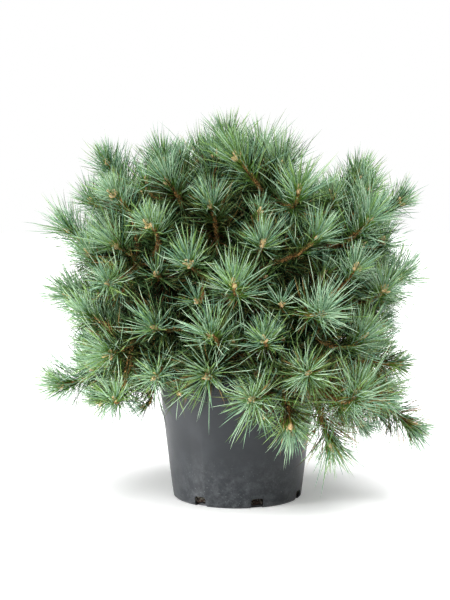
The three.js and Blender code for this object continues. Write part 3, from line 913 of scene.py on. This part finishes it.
def makeBuds():
    rng = np.random.default_rng(buds["seed"])
    spots, aims, sizes = [], [], []
    for run in runs:
        tip = run["points"][-1]
        way = unit(tip - run["points"][-2])
        first, second = (one[0] for one in crossWays(way[None]))
        grown = buds["grown"][run["kind"]] * rng.uniform(*buds["grownBy"])
        spots.append(tip - way * buds["sunk"])
        aims.append(way)
        sizes.append(grown)
        count = rng.integers(buds["side"][0], buds["side"][1] + 1)
        phase = rng.uniform(0, 2 * math.pi)
        for i in range(count):
            turn = phase + 2 * math.pi * i / count + rng.uniform(-buds["turnBy"], buds["turnBy"])
            lean = math.radians(rng.uniform(*buds["lean"]))
            out = first * math.cos(turn) + second * math.sin(turn)
            spots.append(tip - way * buds["sideSunk"] + out * buds["sideOut"])
            aims.append(way * math.cos(lean) + out * math.sin(lean))
            sizes.append(grown * rng.uniform(*buds["small"]))
    values = dict(
        buds, scales=makeSpottedMaterial("budScales", mottled, *budColors["scales"]),
        cream=makeSpottedMaterial("budCream", mottled, *budColors["cream"]))
    piece = runTree(addPoints("buds", spots, [], aim=aims, size=sizes), budTree(), values)
    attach(piece, "root")


makeBuds()
print("buds made")


# Needles: pairs in a close spiral, each half round in section, with the pale flat side turned inwards

needle = dict(
    seed=41, length=0.050, vary=0.15, width=0.00088, thick=0.00064, rough=0.5, shine=0.26,
    perMetre=dict(stem=1950, twig=1900, fine=820), needledBy=(0.85, 1.15), mostNeedled=0.92, thinning=1.7,
    grown=dict(stem=1.06, twig=1, fine=0.86), grownBy=(0.66, 1.08), tipShorter=0.22, tipLength=0.006,
    turn=math.radians(137.5), turnLoose=0.35, tipAngle=18, footAngle=66, ripeAt=0.07, angleShape=0.7,
    loose=14, lift=0.20, hangingLift=-0.12, footOut=0.7, nearBy=0.002, underside=0.12, underFrom=-0.3,
    bend=0.37, bendUp=0.4, bendOut=0.5, bendLoose=0.75, pair=(5, 20), pairLength=(0.90, 1.06),
    pairBend=(0.3, 1.6), potGap=0.001, boxGap=0.006, soilGap=0.004, checks=10,
    rings=((0.0, 0.85), (0.30, 1.0), (0.82, 0.9)), plainRings=((0.0, 0.9), (0.68, 1.0)),
    plain=("deep", "olive", "straw", "brown"), plainWidth=1.2, plainShine=0.1,
)
sheath = dict(
    length=0.0046, width=0.0021, sunk=0.001, paintwork=(paint(196, 146, 84), paint(104, 66, 36), 320, 0.8))
materialParts = ("Needle", "NeedleFlat", "NeedleFoot")

# each shade: the rounded outer side, the flat inner side and the lower part by the sheath
shades = dict(
    pale=((139, 174, 140), (180, 206, 174), (108, 150, 58)),
    blue=((88, 129, 101), (130, 167, 139), (80, 124, 50)),
    mid=((71, 103, 57), (103, 133, 85), (72, 102, 36)),
    fresh=((112, 149, 74), (146, 177, 106), (116, 156, 50)),
    # deep is darker than older needles are, so it is partly painted shade
    deep=((17, 36, 14), (28, 52, 25), (17, 32, 11)),
    olive=((80, 92, 42), (104, 114, 66), (72, 80, 34)),
    straw=((150, 120, 70), (170, 142, 94), (124, 94, 50)),
    brown=((66, 42, 22), (84, 56, 32), (54, 34, 18)),
)
# how likely each shade is for a spray at the tip, along and at the foot of a shoot, and deeper in the crown
# the darker mixes at the foot, inside and in the core are partly older needles and partly painted shade;
# the lighter mix on the hanging shoots is painted light against the shade of the crown above them
dealt = dict(
    tip=dict(fresh=0.26, pale=0.42, blue=0.18, mid=0.14),
    middle=dict(pale=0.40, blue=0.22, mid=0.20, fresh=0.08, deep=0.10),
    foot=dict(mid=0.34, blue=0.18, pale=0.06, deep=0.30, olive=0.12),
    inside=dict(mid=0.31, deep=0.37, olive=0.22, straw=0.05, brown=0.05),
    core=dict(deep=0.62, mid=0.11, olive=0.17, straw=0.04, brown=0.06),
    hanging=dict(mid=0.20, blue=0.08, pale=0.18, fresh=0.20, deep=0.06, olive=0.15, straw=0.09, brown=0.04),
)
# the dome shares under which sprays take the inside and core mixes, darker partly as painted shade
sprays = dict(
    tipTo=0.013, middleTo=0.048, insideShare=0.84, coreShare=0.62, shareBy=0.06, size=4,
    hanging=("front_hanging", "front_right_hanging", "right_low"),
)


def domeShare(spot):
    # how far out in the crown a spot lies: 1 on the dome of buds
    way = spot - up * crown["middle"]
    shares = np.abs(way) / domeReach(way[2])
    return (shares ** crown["squareness"]).sum() ** (1 / crown["squareness"])


def dealShades(run, back, rng):
    # one shade for each small spray, by its place on the shoot and the shoot's place in the crown
    # deeper in the crown the shades are darker, partly as painted shade
    zones = (back > sprays["tipTo"]).astype(int) + (back > sprays["middleTo"])
    dealtOut = np.zeros(len(back), int)
    for first in range(0, len(back), sprays["size"]):
        spot = spotsOn(run, run["length"] - back[first])
        share = domeShare(spot) + rng.uniform(-sprays["shareBy"], sprays["shareBy"])
        zone = ("tip", "middle", "foot")[zones[first]]
        # the hanging shoots take a lighter mix, as painted light
        if run["mass"] in sprays["hanging"] and zone != "tip":
            zone = "hanging"
        # sprays deep in the crown take the darker mixes: older needles and painted shade
        elif share < sprays["coreShare"]:
            zone = "core"
        elif share < sprays["insideShare"] and zone != "tip":
            zone = "inside"
        chances = dealt[zone]
        shade = rng.choice(list(chances), p=list(chances.values()))
        dealtOut[first:first + sprays["size"]] = list(shades).index(shade)
    return dealtOut


def picked(needles, chosen):
    return {key: value[chosen] for key, value in needles.items()}


def joined(groups):
    return {key: np.concatenate([group[key] for group in groups]) for key in groups[0]}


def column(values):
    return values[:, None]


def dressRun(run, rng):
    # the foot, way and other facts of every pair of needles on one shoot
    needled = min(run["needled"] * rng.uniform(*needle["needledBy"]), needle["mostNeedled"] * run["length"])
    count = int(needled * needle["perMetre"][run["kind"]])
    back = ((np.arange(count) + rng.uniform(0, 1, count)) / count) ** needle["thinning"] * needled
    marks = run["length"] - back
    along = unit(spotsOn(run, marks + needle["nearBy"]) - spotsOn(run, marks - needle["nearBy"]))
    first, second = crossWays(along)
    turns = needle["turn"] * np.arange(count) + rng.uniform(0, 2 * math.pi)
    turns = column(turns + rng.normal(0, needle["turnLoose"], count))
    out = first * np.cos(turns) + second * np.sin(turns)
    opened = np.minimum(back / needle["ripeAt"], 1) ** needle["angleShape"]
    angle = blend(needle["tipAngle"], needle["footAngle"], opened)
    angle = column(np.radians(angle + rng.normal(0, needle["loose"], count)))
    lift = needle["hangingLift"] if run["mass"] in sprays["hanging"] else needle["lift"]
    way = unit(along * np.cos(angle) + out * np.sin(angle) + up * lift)
    thick = np.interp(marks, run["marks"], run["thick"])
    feet = spotsOn(run, marks) + out * column(thick * needle["footOut"])
    grown = needle["grown"][run["kind"]] * rng.uniform(*needle["grownBy"])
    length = needle["length"] * grown * (1 + rng.normal(0, needle["vary"], count))
    length *= 1 - needle["tipShorter"] * np.exp(-back / needle["tipLength"])
    bend = up * needle["bendUp"] + out * needle["bendOut"] + rng.normal(0, needle["bendLoose"], (count, 3))
    pairs = dict(
        feet=feet, way=way, length=length, bend=unit(bend) * needle["bend"], shade=dealShades(run, back, rng))
    return picked(pairs, (out[:, 2] > needle["underFrom"]) | (rng.uniform(0, 1, count) > needle["underside"]))


def pairUp(single, rng):
    # each pair becomes two needles that spread and turn their flat sides to each other
    first, second = crossWays(single["way"])
    count = len(first)
    turn = column(rng.uniform(0, math.pi, count))
    apart = first * np.cos(turn) + second * np.sin(turn)
    both = []
    for side in (1, -1):
        spread = column(np.radians(rng.uniform(*needle["pair"], count)))
        one = dict(single, way=unit(single["way"] + apart * side * spread), apart=apart * side)
        one["length"] = single["length"] * rng.uniform(*needle["pairLength"], count)
        one["bend"] = single["bend"] * rng.uniform(*needle["pairBend"], (count, 1))
        both.append(one)
    return joined(both)


def centreLine(needles, share):
    run = needles["way"] * share + needles["bend"] * share ** 2
    return needles["feet"] + run * column(needles["length"])


def keepClear(needles):
    # leaves out a needle that would pass through the pot, its soil or the box of the frame
    low, high = np.array(cadLow) - needle["boxGap"], np.array(cadHigh) + needle["boxGap"]
    keep = np.ones(len(needles["feet"]), bool)
    for share in np.linspace(1 / needle["checks"], 1, needle["checks"]):
        spot = centreLine(needles, share)
        height, reach = spot[:, 2], np.hypot(spot[:, 0], spot[:, 1])
        keep &= (height > pot["height"]) | (reach > potRadiusAt(height) + needle["potGap"])
        keep &= (reach >= pot["rimRadius"] + needle["potGap"]) | (height >= soilLevel + needle["soilGap"])
        keep &= ((spot > low) & (spot < high)).all(1)
    return picked(needles, keep)


def needleMesh(name, needles, materials, plain):
    # three corners at each ring and one at the tip
    rings = needle["plainRings"] if plain else needle["rings"]
    widen = needle["plainWidth"] if plain else 1.0
    along = unit(needles["way"])
    flat = unit(needles["apart"] - along * (needles["apart"] * along).sum(1, keepdims=True))
    side = np.cross(along, flat)
    corners = []
    for share, size in rings:
        middle = centreLine(needles, share)
        half, thick = needle["width"] / 2 * size * widen, needle["thick"] * size * widen
        corners += [middle + side * half, middle - side * half, middle + flat * thick]
    corners.append(centreLine(needles, 1.0))
    last = 3 * (len(rings) - 1)
    pattern, parts = [(0, 2, 1)], [2]
    for ring in range(0, last, 3):
        for k in range(3):
            one, other = ring + k, ring + (k + 1) % 3
            pattern += [(one, other, other + 3), (one, other + 3, one + 3)]
            parts += [int(k == 0) if ring else 2] * 2
    for k in range(3):
        pattern.append((last + k, last + (k + 1) % 3, last + 3))
        parts.append(int(k == 0))
    return repeatedMesh(name, corners, pattern, materials, parts)


def repeatedMesh(name, corners, pattern, materials, parts=None):
    # one small shape for each row of the corners, all in one mesh
    count, each = len(corners[0]), len(corners)
    triangles = (np.array(pattern)[None] + each * np.arange(count)[:, None, None]).reshape(-1, 3)
    parts = None if parts is None else np.tile(parts, count)
    return meshFromTriangles(name, np.stack(corners, axis=1).reshape(-1, 3), triangles, materials, parts)


def makeSheaths(single):
    # the brown collar that holds each pair, a three-sided point sunk in the twig
    first, second = crossWays(single["way"])
    foot = single["feet"] - single["way"] * sheath["sunk"]
    turns = 2 * math.pi / 3 * np.arange(3)
    corners = [foot + (first * math.cos(t) + second * math.sin(t)) * sheath["width"] / 2 for t in turns]
    corners.append(foot + single["way"] * sheath["length"])
    brown = makeSpottedMaterial("sheathBrown", mottled, *sheath["paintwork"])
    mesh = repeatedMesh("sheaths", corners, [(0, 2, 1), (0, 1, 3), (1, 2, 3), (2, 0, 3)], [brown])
    piece = addObject("sheaths", mesh)
    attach(piece, "root")


def makeNeedles():
    rng = np.random.default_rng(needle["seed"])
    single = joined([dressRun(run, rng) for run in runs])
    makeSheaths(single)
    needles = keepClear(pairUp(single, rng))
    for index, (name, paints) in enumerate(shades.items()):
        chosen = picked(needles, needles["shade"] == index)
        plain = name in needle["plain"]
        shine = needle["plainShine" if plain else "shine"]
        materials = [
            Pattern(name + part, paint(*color), needle["rough"], shine).material
            for part, color in zip(materialParts, paints)]
        piece = addObject(name + "Needles", needleMesh(name + "Needles", chosen, materials, plain))
        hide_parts(*massNodes)
        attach(piece, "root")
        print(name, "needles:", len(chosen["feet"]))


makeNeedles()
print("needles made")


# Soil: lumpy peat with crumbs of bark and grit, fallen needles, and fine roots in the drain slots

soil = dict(
    lineStep=0.0025, lineSides=150, sink=0.0030, lump=0.0085, relief=0.0084, level=0.72, grain=75, seed=11,
    detail=(5.0, 0.62), paintwork=(paint(13, 11, 9), paint(32, 26, 21), 60, 0.95),
)
crumbs = dict(
    apart=0.0026, size=0.0017, sizeBy=(0.35, 1.5), rough=0.45, grain=420.0, density=300000.0, seed=17,
    slotTop=0.020, levelFrom=0.3, sideFrom=-0.5, turned=(6.28, 6.28, 6.28), chips=(2.0, 0.5),
    paintwork=(paint(20, 17, 14), paint(108, 104, 92), 330, 0.95),
)
fallen = dict(
    count=520, seed=23, reach=0.107, middleShare=0.03, length=(0.6, 1.0), dropFrom=0.3, lift=0.0007,
    liftBy=0.001, bend=np.array([0.05, 0.05, 0.005]), shades=("straw", "brown"),
)
roots = dict(
    lineSeed=3, count=2, points=16, thick=0.0005, thickBy=(0.5, 1.3), spread=(5, 9), low=(0.004, 0.008),
    high=(0.007, 0.013), inset=0.004, outset=0.0015, near=3, wander=(-0.001, 0.003),
    seed=2, step=0.0015, sides=6, relief=0.4, plateEdge=0.45, grain=900,
    deep=paint(36, 24, 18), warm=paint(84, 54, 40), plate=paint(70, 50, 40), cells=700,
)


def divided(profile, step):
    # the same profile with corners no farther apart than a step
    out = [profile[0]]
    for before, after in zip(profile, profile[1:]):
        count = max(1, math.ceil(math.dist(before, after) / step))
        out += [tuple(pointAt((before, after), i / count)) for i in range(1, count + 1)]
    return out


def soilTree():
    tree = Tree("soilLumps", "relief level grain", "seed", "earth")
    given = tree.given
    detail, roughness = soil["detail"]
    lumps = tree.add(
        "ShaderNodeTexNoise", dict(noise_dimensions="4D"), Vector=tree.position(), W=given["seed"],
        Scale=given["grain"], Detail=detail, Roughness=roughness)
    height = tree.times(tree.math("SUBTRACT", lumps, given["level"]), given["relief"])
    return tree.finish(tree.smoothed(tree.pushed(given["Geometry"], height)), given["earth"])


def makeSoil():
    foot = pot["floor"] + joinGap
    neck = pot["shoulderHeight"] - 2 * pot["shoulderRise"]
    low, high = potInnerAt(foot) - joinGap, potInnerAt(neck) - joinGap
    top = soilLevel + soil["sink"]
    profile = [
        (0, foot), (low, foot), (high, neck), (high, soilLevel - soil["lump"]),
        (high - soil["lump"] / 2, top), (0, top)]
    lines = divided(profile, soil["lineStep"])
    body = addObject("soilBody", turnedMesh("soilBody", lines, soil["lineSides"], []))
    runTree(body, soilTree(), dict(soil, earth=makeSpottedMaterial("darkPeat", earthy, *soil["paintwork"])))
    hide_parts("soil")
    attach(body, "root")
    return body


def crumbTree():
    tree = Tree("soilCrumbs", "apart size rough grain slotTop levelFrom sideFrom density", "seed", "crumb")
    given = tree.given
    facing = tree.height(tree.add("GeometryNodeInputNormal"))
    level = tree.math("GREATER_THAN", facing, given["levelFrom"])
    low = tree.math("LESS_THAN", tree.height(tree.position()), given["slotTop"])
    side = tree.math("GREATER_THAN", facing, given["sideFrom"])
    spread = tree.add(
        "GeometryNodeDistributePointsOnFaces", dict(distribute_method="POISSON"), Mesh=given["Geometry"],
        Selection=tree.math("MAXIMUM", level, tree.times(low, side)), Distance_Min=given["apart"],
        Density_Max=given["density"], Density_Factor=1.0, Seed=given["seed"])
    ball = tree.add("GeometryNodeMeshIcoSphere", Radius=1.0, Subdivisions=1)
    turn = tree.add(
        "FunctionNodeRandomValue", dict(data_type="FLOAT_VECTOR"), Max=crumbs["turned"], Seed=given["seed"])
    size = tree.add("FunctionNodeRandomValue", dict(data_type="FLOAT"), *crumbs["sizeBy"], Seed=given["seed"])
    real = tree.copied(spread, ball, turn, tree.times(size, given["size"]))
    detail, middle = crumbs["chips"]
    chips = tree.add("ShaderNodeTexNoise", Vector=tree.position(), Scale=given["grain"], Detail=detail)
    height = tree.times(tree.math("SUBTRACT", chips, middle), given["rough"])
    height = tree.times(height, tree.times(given["size"], 2.0))
    return tree.finish(tree.pushed(real, height), given["crumb"])


def makeCrumbs(body):
    # crumbs of bark and grit on the soil's top and low on its sides, where the slots show them
    piece = addObject("crumbs", body.data.copy())
    bark = makeSpottedMaterial("soilBark", earthy, *crumbs["paintwork"])
    runTree(piece, crumbTree(), dict(crumbs, crumb=bark))
    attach(piece, "root")
    print("crumbs:", len(piece.data.polygons), "faces")


def makeFallenNeedles(body):
    # dry needles that lie on the soil, each on the heights under its two ends
    rng = np.random.default_rng(fallen["seed"])
    surface = BVHTree.FromPolygons(
        [tuple(v.co) for v in body.data.vertices], [tuple(p.vertices) for p in body.data.polygons])

    def landed(spot):
        hit = surface.ray_cast(Vector((*spot[:2], fallen["dropFrom"])), Vector(-up))[0]
        return np.array(hit) + up * (fallen["lift"] + rng.uniform(0, fallen["liftBy"]))

    needles = []
    while len(needles) < fallen["count"]:
        turn, aim = rng.uniform(0, 360, 2)
        start = around(turn, fallen["reach"] * math.sqrt(rng.uniform(fallen["middleShare"], 1)), 0)
        stop = start + around(aim, needle["length"] * rng.uniform(*fallen["length"]), 0)
        if np.linalg.norm(stop) > fallen["reach"]:
            continue
        low, high = landed(start), landed(stop)
        length = np.linalg.norm(high - low)
        needles.append(dict(feet=[low], way=[unit(high - low)], length=[length], apart=[up]))
    needles = joined(needles)
    needles["bend"] = rng.normal(0, 1, (fallen["count"], 3)) * fallen["bend"]
    shade = np.arange(fallen["count"]) % len(fallen["shades"])
    for index, name in enumerate(fallen["shades"]):
        materials = [bpy.data.materials[name + part] for part in materialParts]
        mesh = needleMesh(name + "Fallen", picked(needles, shade == index), materials, True)
        piece = addObject(name + "Fallen", mesh)
        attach(piece, "root")


def makeRoots(tree):
    # thin reddish roots that cross the drain slots just inside the wall
    rng = np.random.default_rng(roots["lineSeed"])
    radius = pot["baseRadius"] - pot["wall"]
    inner, outer = radius - roots["inset"], radius + roots["outset"]
    lines = []
    for azimuth in slotTurns:
        for i in range(roots["count"]):
            left, right = rng.uniform(*roots["spread"], 2)
            low, high = rng.uniform(*roots["low"]), rng.uniform(*roots["high"])
            if rng.uniform() < 0.5:
                low, high = high, low
            wander = low + rng.uniform(*roots["wander"])
            curve = (
                around(azimuth - left, inner, low), around(azimuth - roots["near"], outer, wander),
                around(azimuth + roots["near"], outer, high), around(azimuth + right, inner, high))
            points = pointAt(curve, np.linspace(0, 1, roots["points"]))
            thick = roots["thick"] * rng.uniform(*roots["thickBy"])
            lines.append((points, np.full(roots["points"], thick)))
    woodFromLines("roots", lines, tree, roots, "rootSkin")


soilBody = makeSoil()
makeCrumbs(soilBody)
makeFallenNeedles(soilBody)
makeRoots(wood)
print("soil made")

makeCamera()
makeStudio()

print("built")
